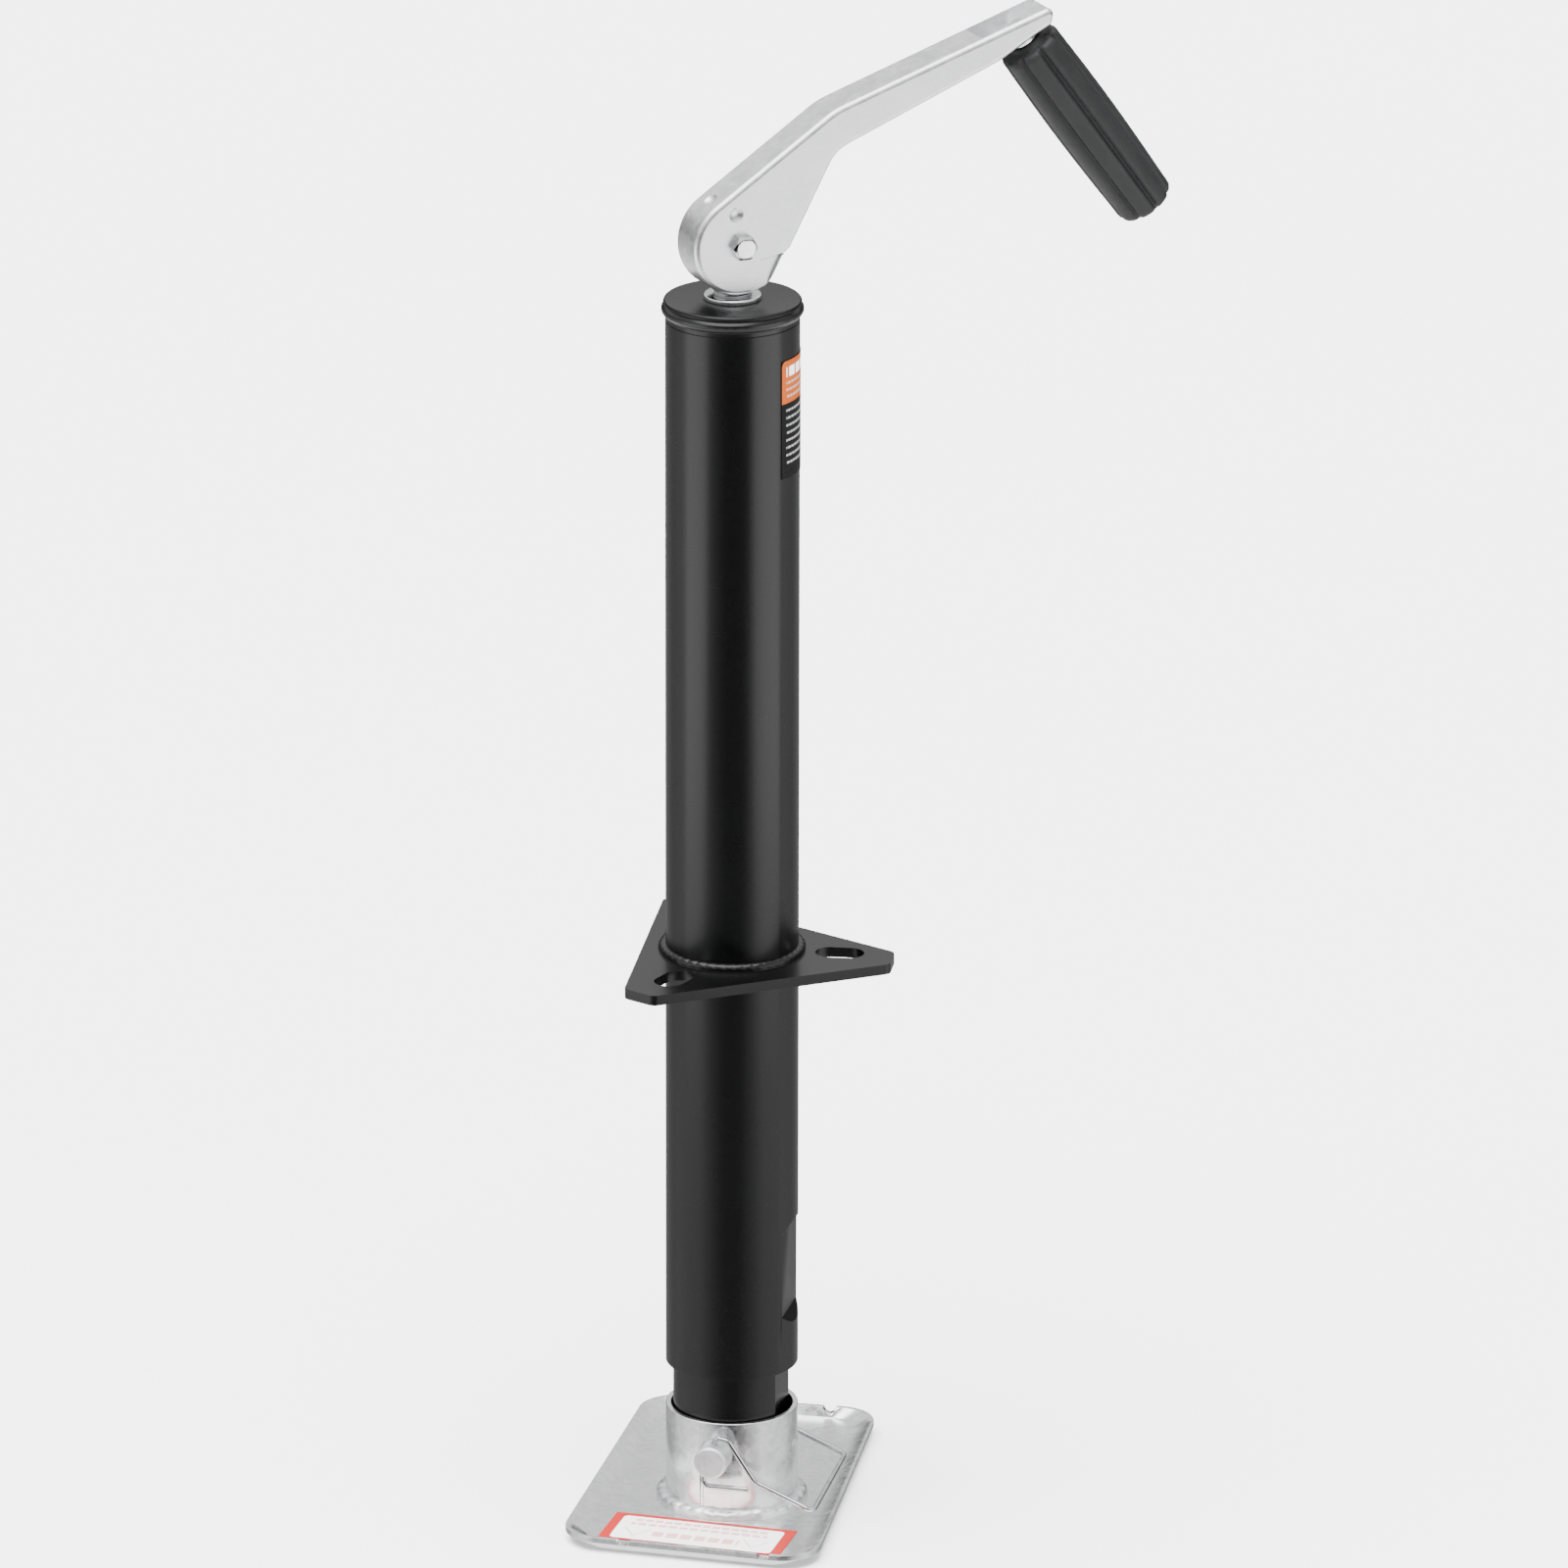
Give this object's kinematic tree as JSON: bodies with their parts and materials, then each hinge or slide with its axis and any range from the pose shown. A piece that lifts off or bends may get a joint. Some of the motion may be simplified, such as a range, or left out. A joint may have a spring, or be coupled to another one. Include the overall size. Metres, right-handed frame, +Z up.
{
  "type": "trailer tongue jack",
  "caption": "A-frame trailer tongue jack: round telescoping leg in a flanged tube, top folding crank with spinning grip, and a pinned pan-shaped foot plate.",
  "frame": {"origin": "on the tube's axis, at the underside of the foot plate, with the leg fully retracted", "axes": "+Z up along the tube, towards the crank; +Y along the foot pin and the foot plate's long side, away from the pin's face end; +X along the foot plate's short side, towards the pressed key flat"},
  "size_m": [0.2247, 0.2088, 0.6571],
  "materials": {
    "tube_paint": "satin gloss black paint",
    "zinc": "bright zinc plate",
    "steel": "oiled machined steel",
    "grip_plastic": "fine-grained matt dark plastic",
    "label_film": "printed film, orange over black",
    "sticker_film": "printed film, white in a red border",
    "cage_brass": "plain"
  },
  "bodies": {
    "jack_body": {"outer_tube": "tube_paint", "top_cap": "tube_paint", "cap_bushing": "zinc", "mount_flange": "tube_paint", "flange_weld_top": "tube_paint", "tube_label": "label_film", "upper_race": "steel"},
    "screw": {"lead_screw": "steel", "thrust_collar": "steel", "collar_pin": "steel", "lower_race": "steel"},
    "ball_ring": {"ball_cage": "cage_brass", "bearing_balls": "steel"},
    "crank": {"crank_arm": "zinc", "pivot_bolt": "zinc", "pivot_nut": "zinc", "pivot_spacers": "zinc", "grip_stud": "zinc", "grip_retainer": "zinc"},
    "grip": {"crank_grip": "grip_plastic"},
    "leg": {"inner_tube": "tube_paint", "lift_nut": "steel", "foot_sleeve": "zinc", "foot_plate": "zinc", "foot_weld": "zinc", "foot_label": "sticker_film"},
    "pin": {"foot_pin": "zinc"},
    "bail": {"wire_bail": "zinc"}
  },
  "joints": [
    {"name": "crank_turn", "type": "hinge", "parent": "jack_body", "child": "screw", "pos_m": [0, 0, 0.5454], "axis": [0, 0, -1], "range_deg": [0, 25200]},
    {"name": "leg_extend", "type": "slide", "parent": "jack_body", "child": "leg", "axis": [0, 0, -1], "range_m": [0, 0.35]},
    {"name": "bearing_roll", "type": "hinge", "parent": "jack_body", "child": "ball_ring", "pos_m": [0, 0, 0.5358], "axis": [0, 0, -1], "range_deg": [0, 12600]},
    {"name": "crank_fold", "type": "hinge", "parent": "screw", "child": "crank", "pos_m": [0, 0, 0.5705], "axis": [-0.6293, 0.7771, 0], "range_deg": [0, 68]},
    {"name": "grip_spin", "type": "hinge", "parent": "crank", "child": "grip", "pos_m": [0.10421, 0.08439, 0.64542], "axis": [0.459, 0.3717, -0.807], "continuous": true},
    {"name": "bail_swing", "type": "hinge", "parent": "pin", "child": "bail", "pos_m": [-0.0012, -0.0345, 0.0318], "axis": [-0.2756, 0, -0.9613], "range_deg": [0, 160]},
    {"name": "pin_pull", "type": "slide", "parent": "leg", "child": "pin", "axis": [0, -1, 0], "range_m": [0, 0.076]}
  ],
  "couplings": [
    {"joint": "leg_extend", "follows": "crank_turn", "m_per_rad": 0.00079577},
    {"joint": "bearing_roll", "follows": "crank_turn", "ratio": 0.5},
    {"joint": "pin_pull", "follows": "bail_swing", "m_per_rad": 0.0272}
  ]
}
